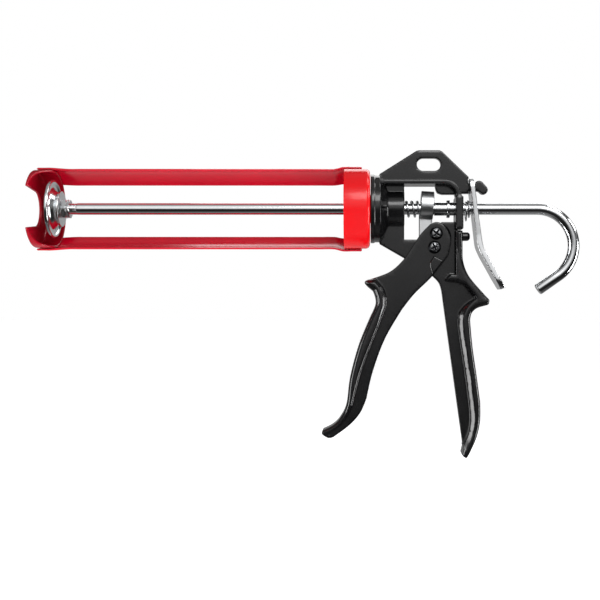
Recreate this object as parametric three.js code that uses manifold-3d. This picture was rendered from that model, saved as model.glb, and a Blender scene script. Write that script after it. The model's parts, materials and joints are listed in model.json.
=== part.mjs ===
// A caulking gun for 310 ml cartridges: an open cradle that turns on a cast body, a friction rod drive
// worked by a pivoted trigger, and a thumb lever that lets the rod go.
// Millimetres, +Z up. +X runs along the rod towards its hook, -Y is the open side of the cradle.
// Below, x is measured from the front face of the body's flange and z from the rod's axis. The finished
// group is then moved so that the origin is the middle of the hanging slot.
import * as THREE from 'three';
import { mergeVertices } from 'three/addons/utils/BufferGeometryUtils.js';
import Module from 'manifold-3d';

const wasm = await Module();
wasm.setup();

// Driving dimensions
const gap = 0.3;                    // between pieces that touch on the real gun
const rodRadius = 3.9;
const boreRadius = 4.6;             // the casting's clearance hole round the rod
const sheet = 1.5;                  // cradle sheet thickness
const plateThickness = 2;           // cup and ring end plates

const cradleInside = 222.5;         // from the cup's end plate to the ring's end plate
const ringRadius = 26.8;            // outside, takes a 50 mm cartridge inside
const ringLength = 17.5;
const cupRadius = 26.2;
const cupWallFar = 14.5;            // wall length on the far side of the cradle
const notchHalfWidth = 14.4;
const notchDepth = 10.5;            // past the rod's axis
const railRadius = 27.2;
const railSpan = THREE.MathUtils.degToRad(47);   // arc of each rail, from the crown towards +Y

const flangeRadius = 23.1;
const flangeLength = 6.3;
const spigotRadius = 9.4;
const noseRadius = 11.35;
const noseEnd = 22.6;
const webHalf = 3;                  // half the thickness of the casting's web
const ribHalf = 11;                 // half the width of the casting's ribs
const gripHalf = 10.5;              // half the width of both grips
const postFront = 56.9;
const postRear = 61.4;

const hangSlot = { x: 39.1, z: 29.8, length: 16, height: 8.6 };
const pivot = { x: 42.7, z: -26.1 };
const drivePin = { x: 43.9, z: -16.8 };
const screwRadius = 2;
const cheekInside = 3.4;
const cheekOutside = 6.6;

const discRadius = 19.7;
const discFront = -215.1;           // flat front face of the plunger disc
const nutCorners = 14.1;            // across corners, 12.2 across flats
const hookRadius = 24.7;
const hookStart = 112.3;
const hookSweep = THREE.MathUtils.degToRad(145);
const hookTail = 17;

const leverThickness = 3;
const leverHalf = 11;
const leverFootHalf = 12.6;

// Solids
function volumeOf(points, triangles) {
  let volume = 0;
  for (let i = 0; i < triangles.length; i += 3) {
    const [a, b, c] = [0, 1, 2].map((k) => new THREE.Vector3().fromArray(points, 3 * triangles[i + k]));
    volume += a.dot(b.cross(c)) / 6;
  }
  return volume;
}

function solid(geometry) {
  geometry.deleteAttribute('normal');
  geometry.deleteAttribute('uv');
  const merged = mergeVertices(geometry, 1e-4);
  const vertProperties = new Float32Array(merged.attributes.position.array);
  const triVerts = new Uint32Array(merged.index.array);
  if (volumeOf(vertProperties, triVerts) < 0) triVerts.reverse();
  return new wasm.Manifold(new wasm.Mesh({ numProp: 3, vertProperties, triVerts }));
}

// An outline in x and z, extruded from y = from to y = to.
function plate(outline, from, to, curveSegments = 4) {
  const geometry = new THREE.ExtrudeGeometry(outline, { depth: to - from, bevelEnabled: false, curveSegments });
  geometry.rotateX(Math.PI / 2);
  geometry.translate(0, to, 0);
  return solid(geometry);
}

function slab(outline, half, curveSegments) {
  return plate(outline, -half, half, curveSegments);
}

// An outline in y and z, extruded from x = from to x = to.
function crossPlate(outline, from, to, curveSegments = 10) {
  const geometry = new THREE.ExtrudeGeometry(outline, { depth: to - from, bevelEnabled: false, curveSegments });
  geometry.rotateX(Math.PI / 2);
  geometry.rotateZ(Math.PI / 2);
  geometry.translate(from, 0, 0);
  return solid(geometry);
}

// A closed profile of [x, radius] points turned about the rod's axis.
function turned(profile, segments = 48) {
  const points = profile.map(([x, radius]) => new THREE.Vector2(radius, x));
  points.push(points[0].clone());
  const geometry = new THREE.LatheGeometry(points, segments);
  geometry.rotateZ(-Math.PI / 2);
  return solid(geometry);
}

function collar(from, to, inside, outside, segments) {
  return turned([[from, inside], [from, outside], [to, outside], [to, inside]], segments);
}

function bar(from, to, radius, segments = 24) {
  const geometry = new THREE.CylinderGeometry(radius, radius, to - from, segments);
  geometry.rotateZ(Math.PI / 2);
  geometry.translate((from + to) / 2, 0, 0);
  return solid(geometry);
}

function pin(at, from, to, radius, segments = 20) {
  const geometry = new THREE.CylinderGeometry(radius, radius, to - from, segments);
  geometry.translate(at.x, (from + to) / 2, at.z);
  return solid(geometry);
}

function block(x0, x1, y0, y1, z0, z1) {
  const geometry = new THREE.BoxGeometry(x1 - x0, y1 - y0, z1 - z0);
  geometry.translate((x0 + x1) / 2, (y0 + y1) / 2, (z0 + z1) / 2);
  return solid(geometry);
}

// Outlines
function polygon(points) {
  return new THREE.Shape(points.map(([x, z]) => new THREE.Vector2(x, z)));
}

// Straight runs and smooth curves in turn: each stretch is ['line' or 'curve', points].
function outlineOf(start, stretches) {
  const outline = new THREE.Shape();
  outline.moveTo(...start);
  for (const [kind, points] of stretches) {
    if (kind === 'curve') outline.splineThru(points.map(([x, z]) => new THREE.Vector2(x, z)));
    else points.forEach(([x, z]) => outline.lineTo(x, z));
  }
  outline.closePath();
  return outline;
}

function stadium(centre, length, height, tilt = 0) {
  const radius = height / 2;
  const reach = length / 2 - radius;
  const across = new THREE.Vector2(Math.cos(tilt), Math.sin(tilt)).multiplyScalar(reach);
  const outline = new THREE.Shape();
  outline.absarc(centre.x + across.x, centre.z + across.y, radius, tilt - Math.PI / 2, tilt + Math.PI / 2);
  outline.absarc(centre.x - across.x, centre.z - across.y, radius, tilt + Math.PI / 2, tilt + Math.PI * 1.5);
  outline.closePath();
  return outline;
}

// Pieces
const gun = new THREE.Group();
gun.position.set(-hangSlot.x, 0, -hangSlot.z);

const finishes = {
  blackEnamel: { color: 0x17181a, roughness: 0.38, metalness: 0.1 },
  redEnamel: { color: 0xc8102a, roughness: 0.25, metalness: 0.1 },
  zincPlate: { color: 0xc9ccd0, roughness: 0.24, metalness: 1 },
  springSteel: { color: 0x9a9da1, roughness: 0.3, metalness: 1 },
  blackScrew: { color: 0x2a2b2e, roughness: 0.3, metalness: 0.9 },
};

function addPiece(name, shape, finish) {
  const { vertProperties, triVerts, numProp } = shape.getMesh();
  const geometry = new THREE.BufferGeometry();
  const points = new Float32Array((vertProperties.length / numProp) * 3);
  for (let i = 0; i < points.length / 3; i += 1) {
    for (let k = 0; k < 3; k += 1) points[3 * i + k] = vertProperties[numProp * i + k];
  }
  geometry.setAttribute('position', new THREE.BufferAttribute(points, 3));
  geometry.setIndex(new THREE.BufferAttribute(new Uint32Array(triVerts), 1));
  geometry.computeVertexNormals();
  const mesh = new THREE.Mesh(geometry, new THREE.MeshStandardMaterial(finishes[finish]));
  mesh.name = name;
  gun.add(mesh);
}

// Cradle
const ringRear = -0.4;
const ringPlate = ringRear - plateThickness;
const cupPlate = ringPlate - cradleInside;
const cupFront = cupPlate - plateThickness;
const seatStep = 0.4;                // the cartridge seat stands this far in front of the ring's plate
const seatRadius = 14.6;             // clear of the lock nut and its washer

function rearRing() {
  const corner = 2.6;
  const profile = [[ringRear - ringLength, ringRadius - sheet], [ringRear - ringLength, ringRadius]];
  for (let i = 0; i <= 4; i += 1) {
    const turn = (i / 4) * Math.PI / 2;
    profile.push([ringRear - corner * (1 - Math.sin(turn)), ringRadius - corner * (1 - Math.cos(turn))]);
  }
  const seat = ringPlate - seatStep;
  profile.push([ringRear, spigotRadius + 0.4], [ringPlate, spigotRadius + 0.4], [ringPlate, seatRadius - 0.4]);
  profile.push([seat, seatRadius], [seat, ringRadius - sheet - 1], [seat - 1, ringRadius - sheet]);
  return turned(profile, 56);
}

function frontCup() {
  const wallEnd = cupFront + cupWallFar;
  const corner = 1.2;
  let cup = turned([
    [cupFront, 0.01], [cupFront, cupRadius - corner], [cupFront + corner, cupRadius], [wallEnd, cupRadius],
    [wallEnd, cupRadius - sheet], [cupPlate, cupRadius - sheet], [cupPlate, 0.01],
  ], 56).add(bar(cupFront, cupPlate, 3));
  const rimCut = polygon([
    [cupFront + 2, -40], [cupFront + 2, -20], [cupFront + 3.5, -15], [cupFront + 6.4, -9], [wallEnd - 1.5, 0.5],
    [wallEnd - 0.4, 8], [wallEnd, 14], [wallEnd + 5, 14], [wallEnd + 5, -40],
  ]);
  const cutter = new THREE.ExtrudeGeometry(rimCut, { depth: 80, bevelEnabled: false });
  cutter.translate(0, 0, -40);
  cup = cup.subtract(solid(cutter));
  const notch = new THREE.Shape();
  notch.moveTo(-40, notchHalfWidth + 1);
  notch.lineTo(-40, -notchHalfWidth - 1);
  notch.lineTo(-0.5, -notchHalfWidth + 2.8);
  notch.absellipse(-0.5, 0, notchDepth + 0.5, notchHalfWidth - 2.8, -Math.PI / 2, Math.PI / 2, false);
  notch.closePath();
  return cup.subtract(crossPlate(notch, cupFront - 5, wallEnd + 5));
}

// A rail lies outside the cup and the ring at its ends, and steps in to the cradle's radius between.
function rail(side) {
  const step = 7;
  const frontTab = cupFront + 1.6;
  const frontTabEnd = cupFront + 11.5;
  const rearTab = ringRear - ringLength;
  const rearTabEnd = ringRear - 5.5;
  const cupOutside = cupRadius + gap + sheet;
  const ringOutside = ringRadius + gap + sheet;
  const outer = [
    [frontTab, cupOutside], [frontTabEnd, cupOutside], [frontTabEnd + 1.6 * step, railRadius],
    [rearTab - step, railRadius], [rearTab - 0.8, ringOutside], [rearTabEnd, ringOutside],
  ];
  const inner = outer.map(([x, radius]) => [x, radius - sheet]);
  inner[2][0] = Math.max(inner[2][0], cupFront + cupWallFar + 1);
  const strip = turned([...outer, ...inner.reverse()], 72);
  const reach = 60;
  const sector = polygon([
    [0, 0], [0, side * reach],
    [reach * Math.sin(railSpan), side * reach * Math.cos(railSpan)],
  ]);
  return strip.intersect(crossPlate(sector, cupFront - 5, 5));
}

function lockNut() {
  const nut = new THREE.CylinderGeometry(14, 14, 3, 6);
  nut.rotateZ(Math.PI / 2);
  nut.translate(-5.1, 0, 0);
  return solid(nut).intersect(turned([[-6.6, 0.01], [-6.6, 12.8], [-5.9, 13.6], [-3.6, 13.6], [-3.6, 0.01]], 48)
    .add(bar(-6.6, -3.6, 3))).subtract(bar(-10, 0, spigotRadius + gap, 32));
}

function hexNut(from, to, acrossCorners, bore) {
  const nut = new THREE.CylinderGeometry(acrossCorners / 2, acrossCorners / 2, to - from, 6);
  nut.rotateZ(Math.PI / 2);
  nut.rotateX(Math.PI / 6);
  nut.translate((from + to) / 2, 0, 0);
  const flatRadius = (acrossCorners / 2) * 0.9;
  const rim = acrossCorners / 2 + 0.01;
  const chamfer = 0.6;
  const blank = turned([
    [from, 1], [from, flatRadius], [from + chamfer, rim], [to - chamfer, rim], [to, flatRadius], [to, 1],
  ], 36);
  return solid(nut).intersect(blank).subtract(bar(from - 1, to + 1, bore, 24));
}

// Cast body
function frontCasting() {
  return turned([
    [-7, boreRadius], [-7, spigotRadius], [0, spigotRadius], [0, flangeRadius], [2.4, flangeRadius],
    [2.8, flangeRadius - 0.5], [flangeLength, flangeRadius - 0.5], [flangeLength, flangeRadius - 1],
    [11.2, noseRadius], [noseEnd - 0.8, noseRadius], [noseEnd, noseRadius - 0.8], [noseEnd, boreRadius],
  ], 48);
}

function webOutline() {
  return outlineOf([6, 0], [
    ['line', [[6, 23.4], [30.6, 38.9]]],
    ['curve', [[32.4, 39.4]]],
    ['line', [[46.4, 39.4]]],
    ['curve', [[48.4, 38.4]]],
    ['line', [[65, 22.4], [65.2, 17]]],
    ['line', [[65.9, 10.2], [58, 10.2], [58, -26], [61.8, -38], [66.6, -46.6], [76.6, -58.4]]],
    ['curve', [[79.2, -61], [78.6, -64], [76, -65]]],
    ['curve', [[70.6, -66.8], [67.4, -70], [66.2, -74.4]]],
    ['curve', [[67.9, -92], [70.6, -112], [72.9, -130]]],
    ['curve', [[72.9, -142], [70.6, -153], [66, -163.4]]],
    ['curve', [[63.6, -166.6], [61.4, -164.4], [62.1, -160.4]]],
    ['line', [[48.6, -62]]],
    ['curve', [[47.4, -54], [45.6, -49.4], [41.6, -45.3]]],
    ['curve', [[34, -41.4], [28, -37]]],
    ['line', [[22.3, -33.1], [6, -23.7]]],
  ]);
}

function windowOutline() {
  return outlineOf([noseEnd, 16], [
    ['line', [[noseEnd, -20.7], [47.5, -20.7], [47.5, -8.9], [postFront, -8.9], [postFront, 9.6], [48, 9.6]]],
    ['curve', [[44.8, 10.8], [43.4, 14]]],
    ['line', [[43.4, 16]]],
  ]);
}

function ribOutline() {
  const bend = { x: 48.6, z: 7 };
  const outer = 12;
  const inner = 9;
  const outline = new THREE.Shape();
  outline.moveTo(flangeLength - 0.5, bend.z + inner);
  outline.lineTo(flangeLength - 0.5, bend.z + outer);
  outline.lineTo(bend.x, bend.z + outer);
  outline.absarc(bend.x, bend.z, outer, Math.PI / 2, 0, true);
  outline.lineTo(bend.x + outer, bend.z - 4);
  outline.lineTo(bend.x + inner, bend.z - 4);
  outline.lineTo(bend.x + inner, bend.z);
  outline.absarc(bend.x, bend.z, inner, 0, Math.PI / 2, false);
  outline.closePath();
  return outline;
}

// The palm side of the fixed grip, from the shelf below the post down to the toe.
function palmOutline() {
  return outlineOf([50.4, -47.7], [
    ['line', [[53.4, -44.4], [postFront, -44.4], [postFront, -15], [postRear, -15], [postRear, -28]]],
    ['curve', [[61.9, -36], [65.8, -45.9], [76.6, -58.5]]],
    ['curve', [[79.1, -61.6], [78.6, -64.4], [76, -65.3]]],
    ['curve', [[70.8, -67], [67.5, -70.2], [66.4, -74.6]]],
    ['curve', [[68, -92.4], [70.8, -112], [73.2, -130]]],
    ['curve', [[73.1, -142], [70.8, -153], [66.2, -163.6]]],
    ['curve', [[63.8, -167], [61.2, -164.6], [62.4, -160.6]]],
    ['curve', [[66.4, -152], [68, -144], [67.8, -134], [65.4, -114], [62, -92], [60.2, -78]]],
    ['curve', [[60.6, -71.6], [63.6, -66], [68, -62]]],
    ['curve', [[70, -60.4], [69.6, -58.6], [68, -56.6]]],
    ['line', [[62.4, -50], [58, -48.6]]],
  ]);
}

function leverHook() {
  const neck = polygon([[64.6, 11.8], [64.6, 16.6], [73.4, 16.6], [73.4, 11.8]]);
  const ear = stadium({ x: 74.4, z: 14.3 }, 10.4, 6.2, THREE.MathUtils.degToRad(-48));
  return slab(neck, webHalf).add(slab(ear, webHalf));
}

function stopPeg() {
  return turned([[60, 0.01], [60, 3], [66.2, 3], [67, 2.2], [67, 0.01]], 20).add(bar(60, 67, 1, 8)).translate(0, 0, -18.6);
}

function bodyCasting() {
  const pad = block(postFront - 0.2, postRear + 0.4, -ribHalf - 0.5, ribHalf + 0.5, -14.2, 8);
  const mouth = bar(noseEnd - 0.01, 80, boreRadius, 32);
  return slab(webOutline(), webHalf)
    .add(slab(ribOutline(), ribHalf))
    .subtract(bar(5, noseEnd + 0.2, noseRadius - 1, 32))
    .add(frontCasting())
    .subtract(slab(windowOutline(), 30))
    .add(pad)
    .add(slab(palmOutline(), gripHalf))
    .add(stopPeg())
    .add(leverHook())
    .subtract(mouth)
    .subtract(slab(stadium(hangSlot, hangSlot.length, hangSlot.height), 10))
    .subtract(pin(pivot, -10, 10, screwRadius + gap));
}

// Drive
function triggerOutline() {
  return outlineOf([39.8, -10.6], [
    ['curve', [[44, -9.1], [49.2, -10.6], [53, -14.6], [54.1, -20], [53.2, -27], [52, -31.6], [49.2, -35.4]]],
    ['curve', [[40.6, -46.2], [29.2, -57.4], [20.8, -68]]],
    ['curve', [[9.6, -87.4], [1.6, -109], [-2.8, -127.6]]],
    ['curve', [[-7, -137], [-14.2, -145.2], [-25.2, -153.4]]],
    ['curve', [[-28.6, -153.8], [-32.6, -151.2], [-31.8, -148.6]]],
    ['curve', [[-25.2, -145.2], [-20.2, -140], [-16, -131], [-13.6, -113], [-7.8, -91.6], [-0.2, -73]]],
    ['curve', [[3.4, -65], [3.4, -60], [1.8, -55.4]]],
    ['curve', [[-2.4, -51.8], [-3.8, -49.4], [-1.6, -47.9]]],
    ['curve', [[10.6, -43.6], [17, -39.4], [23, -33.2]]],
    ['line', [[30.5, -21.8]]],
    ['curve', [[34, -16.6], [39.8, -10.6]]],
  ]);
}

// The finger side of the trigger: the stretch that is as wide as the palm grip.
function fingerOutline() {
  return outlineOf([-1.6, -47.9], [
    ['line', [[3.6, -47.6]]],
    ['curve', [[8.2, -53.4], [10.2, -59.6], [10, -65.6]]],
    ['curve', [[1.8, -86.6], [-6.8, -109.2], [-12.8, -132]]],
    ['curve', [[-17.8, -141], [-25.2, -147.6], [-31.8, -150.6]]],
    ['curve', [[-32.4, -149.6], [-31.8, -148.6]]],
    ['curve', [[-25.2, -145.2], [-20.2, -140], [-16, -131], [-13.6, -113], [-7.8, -91.6], [-0.2, -73]]],
    ['curve', [[3.4, -65], [3.4, -60], [1.8, -55.4]]],
    ['curve', [[-2.4, -51.8], [-3.8, -49.4], [-1.6, -47.9]]],
  ]);
}

// The channel between the trigger's cheeks, which straddles the casting's web.
function channelOutline() {
  return outlineOf([16, -30], [
    ['line', [[19, -36]]],
    ['curve', [[14, -49], [12, -58], [11.4, -66]]],
    ['curve', [[3.4, -86.6], [-5, -109.2], [-10.6, -130]]],
    ['line', [[20, -130], [70, -50], [70, 10], [16, 10]]],
  ]);
}

function trigger() {
  const stop = polygon([[42.4, -31.6], [49, -35.1], [41.4, -44.6], [39.2, -36]]);
  return slab(triggerOutline(), cheekOutside)
    .add(slab(fingerOutline(), gripHalf))
    .add(plate(stop, -cheekOutside - 1.2, -cheekOutside + 0.5))
    .subtract(slab(channelOutline(), cheekInside))
    .subtract(pin(pivot, -12, 12, screwRadius + gap))
    .subtract(pin(drivePin, -12, 12, screwRadius + gap));
}

function driverBlock() {
  const tilt = 3.5;
  const disc = bar(-4.3, 4.3, 9.5, 40).rotate([0, tilt, 0]).translate(38, 0, 2.4);
  const leg = block(32.6, 41.4, -2.9, 2.9, -19.4, -3);
  return disc.add(leg).subtract(bar(30, 45, rodRadius + 0.5, 28));
}

function crossHeadScrew(at, headFrom, shankEnd) {
  const headRadius = 4.3;
  const headHeight = 2.6;
  const dome = new THREE.LatheGeometry([
    new THREE.Vector2(0, -headHeight), new THREE.Vector2(1.8, -headHeight * 0.96),
    new THREE.Vector2(3.6, -headHeight * 0.72), new THREE.Vector2(headRadius, -headHeight * 0.3),
    new THREE.Vector2(headRadius, 0), new THREE.Vector2(0, 0),
  ], 28);
  dome.translate(at.x, headFrom, at.z);
  const recess = block(-2, 2, -9, 0, -0.45, 0.45).add(block(-0.45, 0.45, -9, 0, -2, 2))
    .translate(at.x, headFrom - headHeight + 1.4, at.z);
  return solid(dome).add(pin(at, headFrom - 0.5, shankEnd, screwRadius)).subtract(recess);
}

function screwNut(at, from, to) {
  const nut = new THREE.CylinderGeometry(4, 4, to - from, 6);
  nut.translate(at.x, (from + to) / 2, at.z);
  return solid(nut).subtract(pin(at, from - 1, to + 1, screwRadius + gap));
}

class Helix extends THREE.Curve {
  constructor(from, to, radius, turns) {
    super();
    Object.assign(this, { from, to, radius, turns });
  }

  getPoint(t, target = new THREE.Vector3()) {
    const angle = t * this.turns * 2 * Math.PI;
    const x = this.from + (this.to - this.from) * t;
    return target.set(x, this.radius * Math.cos(angle), this.radius * Math.sin(angle));
  }
}

function circle(radius, sides) {
  const points = Array.from({ length: sides }, (_, i) => {
    const angle = (i / sides) * 2 * Math.PI;
    return new THREE.Vector2(radius * Math.cos(angle), radius * Math.sin(angle));
  });
  return new THREE.Shape(points);
}

function coil(from, to, outside, wire, turns) {
  const path = new Helix(from + wire / 2, to - wire / 2, outside - wire / 2, turns);
  const steps = Math.round(turns * 18);
  return solid(new THREE.ExtrudeGeometry(circle(wire / 2, 7), { extrudePath: path, steps, bevelEnabled: false }));
}

// Thumb lever: a bent strip, hung on the hook, with a hole for the rod.
function releaseLever() {
  const half = leverThickness / 2;
  const outline = outlineOf([67.3 - half, 19.6], [
    ['line', [[67.3 + half, 19.6], [72.4 + half, -19]]],
    ['curve', [[73.6 + half, -25.6], [76.4 + half, -31.6]]],
    ['line', [[88.2 + half, -53.2], [88.2 - half, -54.4], [76.2 - half - 0.4, -32.4]]],
    ['curve', [[73 - half, -26], [72 - half, -20]]],
  ]);
  const width = polygon([
    [-leverHalf, 30], [leverHalf, 30], [leverHalf, -18], [leverFootHalf, -55], [-leverFootHalf, -55], [-leverHalf, -18],
  ]);
  const slot = block(60, 72, -webHalf - 0.6, webHalf + 0.6, 10.4, 17.8);
  return slab(outline, leverFootHalf).intersect(crossPlate(width, 60, 95)).subtract(slot).subtract(bar(60, 80, rodRadius + 0.9, 28));
}

// Plunger and rod
function plungerDisc() {
  const wall = 1.2;
  const rimBack = discFront + 2.3;
  const domeBase = 13.2;
  const domeTop = 8.4;
  const domeEnd = -209.8;
  return turned([
    [discFront, discRadius], [rimBack - 0.6, discRadius], [rimBack, discRadius - 0.7], [rimBack, discRadius - 1.6],
    [discFront + wall, discRadius - 3], [discFront + wall, domeBase], [domeEnd - 1, domeTop + 1.1],
    [domeEnd, domeTop], [domeEnd, rodRadius + gap], [domeEnd - wall, rodRadius + gap],
    [domeEnd - wall, domeTop - 0.6], [discFront, domeBase - 1],
  ], 56);
}

function backingWasher() {
  return collar(-209.5, -208.1, rodRadius + gap, 12, 44);
}

function pushRod() {
  const hook = new THREE.CurvePath();
  const centre = -hookRadius;
  class Bend extends THREE.Curve {
    getPoint(t, target = new THREE.Vector3()) {
      const angle = t * hookSweep;
      return target.set(hookStart + hookRadius * Math.sin(angle), 0, centre + hookRadius * Math.cos(angle));
    }
  }
  hook.add(new Bend());
  const end = new Bend().getPoint(1);
  const heading = new THREE.Vector3(Math.cos(hookSweep), 0, -Math.sin(hookSweep));
  hook.add(new THREE.LineCurve3(end, end.clone().addScaledVector(heading, hookTail)));
  const bend = new THREE.ExtrudeGeometry(circle(rodRadius - 0.02, 20), {
    extrudePath: hook, steps: 22, bevelEnabled: false,
  });
  return bar(-216.4, hookStart + 0.4, rodRadius, 20).add(solid(bend));
}

addPiece('body_casting', bodyCasting(), 'blackEnamel');
addPiece('barrel_lock_nut', lockNut(), 'zincPlate');
addPiece('barrel_wave_washer', collar(-3.3, -2.7, spigotRadius + gap, 13, 36), 'springSteel');
addPiece('rear_bushing', collar(42.9, 63.2, rodRadius + 0.15, boreRadius - 0.05, 32), 'zincPlate');
addPiece('bushing_clip', collar(51.2, 53.2, boreRadius + 0.05, 6.1, 32), 'zincPlate');
addPiece('pivot_screw', crossHeadScrew(pivot, -cheekOutside - gap, cheekOutside + 4.4), 'blackScrew');
addPiece('pivot_nut', screwNut(pivot, cheekOutside + gap, cheekOutside + 3.5), 'blackScrew');
addPiece('rear_ring', rearRing(), 'redEnamel');
addPiece('front_cup', frontCup(), 'redEnamel');
addPiece('upper_rail', rail(1), 'redEnamel');
addPiece('lower_rail', rail(-1), 'redEnamel');
addPiece('trigger_lever', trigger(), 'blackEnamel');
addPiece('drive_screw', crossHeadScrew(drivePin, -cheekOutside - gap, cheekOutside + 4.4), 'blackScrew');
addPiece('drive_nut', screwNut(drivePin, cheekOutside + gap, cheekOutside + 3.5), 'blackScrew');
addPiece('driver_block', driverBlock(), 'zincPlate');
addPiece('drive_spring', coil(noseEnd + gap, 32.9, 5.9, 1.4, 2.6), 'springSteel');
addPiece('release_washer', collar(63.9, 64.7, 5.5, 6.8, 36).translate(0, 0, -1.5), 'zincPlate');
addPiece('release_spring', coil(65, 67.2, 6.1, 1, 1.2), 'springSteel');
addPiece('release_lever', releaseLever(), 'zincPlate');
addPiece('plunger_disc', plungerDisc(), 'zincPlate');
addPiece('plunger_washer', backingWasher(), 'zincPlate');
addPiece('plunger_front_nut', hexNut(-215.6, -211.5, nutCorners, rodRadius + gap), 'zincPlate');
addPiece('plunger_rear_nut', hexNut(-207.8, -204.2, nutCorners, rodRadius + gap), 'zincPlate');
addPiece('plunger_lock_nut', hexNut(-203.9, -202.2, nutCorners, rodRadius + gap), 'zincPlate');
addPiece('push_rod', pushRod(), 'zincPlate');

export default gun;
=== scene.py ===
import json
import math
import bpy
import numpy as np
import openvdb
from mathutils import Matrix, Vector

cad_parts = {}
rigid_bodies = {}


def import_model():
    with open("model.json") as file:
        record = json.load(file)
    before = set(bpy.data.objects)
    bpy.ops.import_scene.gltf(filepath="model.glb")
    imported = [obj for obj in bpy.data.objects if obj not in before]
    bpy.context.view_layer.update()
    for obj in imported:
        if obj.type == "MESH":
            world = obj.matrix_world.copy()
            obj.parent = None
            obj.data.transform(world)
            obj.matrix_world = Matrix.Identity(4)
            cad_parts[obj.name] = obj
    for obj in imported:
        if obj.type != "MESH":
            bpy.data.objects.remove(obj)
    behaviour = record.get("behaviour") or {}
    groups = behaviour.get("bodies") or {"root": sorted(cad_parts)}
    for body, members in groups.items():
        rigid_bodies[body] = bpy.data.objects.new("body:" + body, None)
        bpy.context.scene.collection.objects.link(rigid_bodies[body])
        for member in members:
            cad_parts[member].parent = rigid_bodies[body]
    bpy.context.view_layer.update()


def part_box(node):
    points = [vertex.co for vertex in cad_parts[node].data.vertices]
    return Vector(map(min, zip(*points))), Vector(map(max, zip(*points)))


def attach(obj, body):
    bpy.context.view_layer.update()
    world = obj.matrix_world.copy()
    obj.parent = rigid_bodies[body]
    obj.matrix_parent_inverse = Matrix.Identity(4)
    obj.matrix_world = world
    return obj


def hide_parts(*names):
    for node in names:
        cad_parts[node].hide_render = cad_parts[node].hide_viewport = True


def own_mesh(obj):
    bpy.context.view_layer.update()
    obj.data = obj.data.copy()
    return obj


# A caulking gun for 310 ml cartridges. Every shape below is given in millimetres, with x from the front face of
# the body's flange, y across the gun and z from the rod's axis, and is moved into the frame when its mesh is made.
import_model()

spigotLength = 7
sleeveLow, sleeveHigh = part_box("rear_bushing")
datum = np.array([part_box("body_casting")[0][0] * 1000 + spigotLength, 0.0, (sleeveLow[2] + sleeveHigh[2]) * 500])


def placed(x, y, z):
    return Vector((np.array([x, y, z]) + datum) / 1000)


# Camera

shot = {"distance": 0.750, "x": -0.0429, "z": -0.0912, "lens": 66.67, "shiftX": -0.1083}
cameraData = bpy.data.cameras.new("camera")
cameraData.lens = shot["lens"]
cameraData.sensor_width = 36
cameraData.shift_x = shot["shiftX"]
camera = bpy.data.objects.new("camera", cameraData)
camera.location = (shot["x"], -shot["distance"], shot["z"])
camera.rotation_euler = (math.radians(90), 0, 0)
bpy.context.collection.objects.link(camera)
bpy.context.scene.camera = camera
bpy.context.scene.view_settings.view_transform = "Standard"
print("camera placed")


# Materials

def linearColour(hexCode):
    channels = [int(hexCode[i:i + 2], 16) / 255 for i in (1, 3, 5)]
    return [c / 12.92 if c <= 0.04045 else ((c + 0.055) / 1.055) ** 2.4 for c in channels] + [1]


def addNode(tree, kind, inputs=None, **settings):
    node = tree.nodes.new(kind)
    for name, value in settings.items():
        setattr(node, name, value)
    for name, value in (inputs or {}).items():
        if isinstance(value, bpy.types.NodeSocket):
            tree.links.new(value, node.inputs[name])
        else:
            node.inputs[name].default_value = value
    return node


def newMaterial(name):
    material = bpy.data.materials.new(name)
    material.use_nodes = True
    tree = material.node_tree
    tree.nodes.clear()
    where = addNode(tree, "ShaderNodeTexCoord").outputs["Object"]
    return material, tree, where


def finishMaterial(tree, inputs):
    shader = addNode(tree, "ShaderNodeBsdfPrincipled", inputs)
    addNode(tree, "ShaderNodeOutputMaterial", {"Surface": shader.outputs["BSDF"]})


def perMetre(millimetres):
    return 1000 / millimetres


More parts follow.
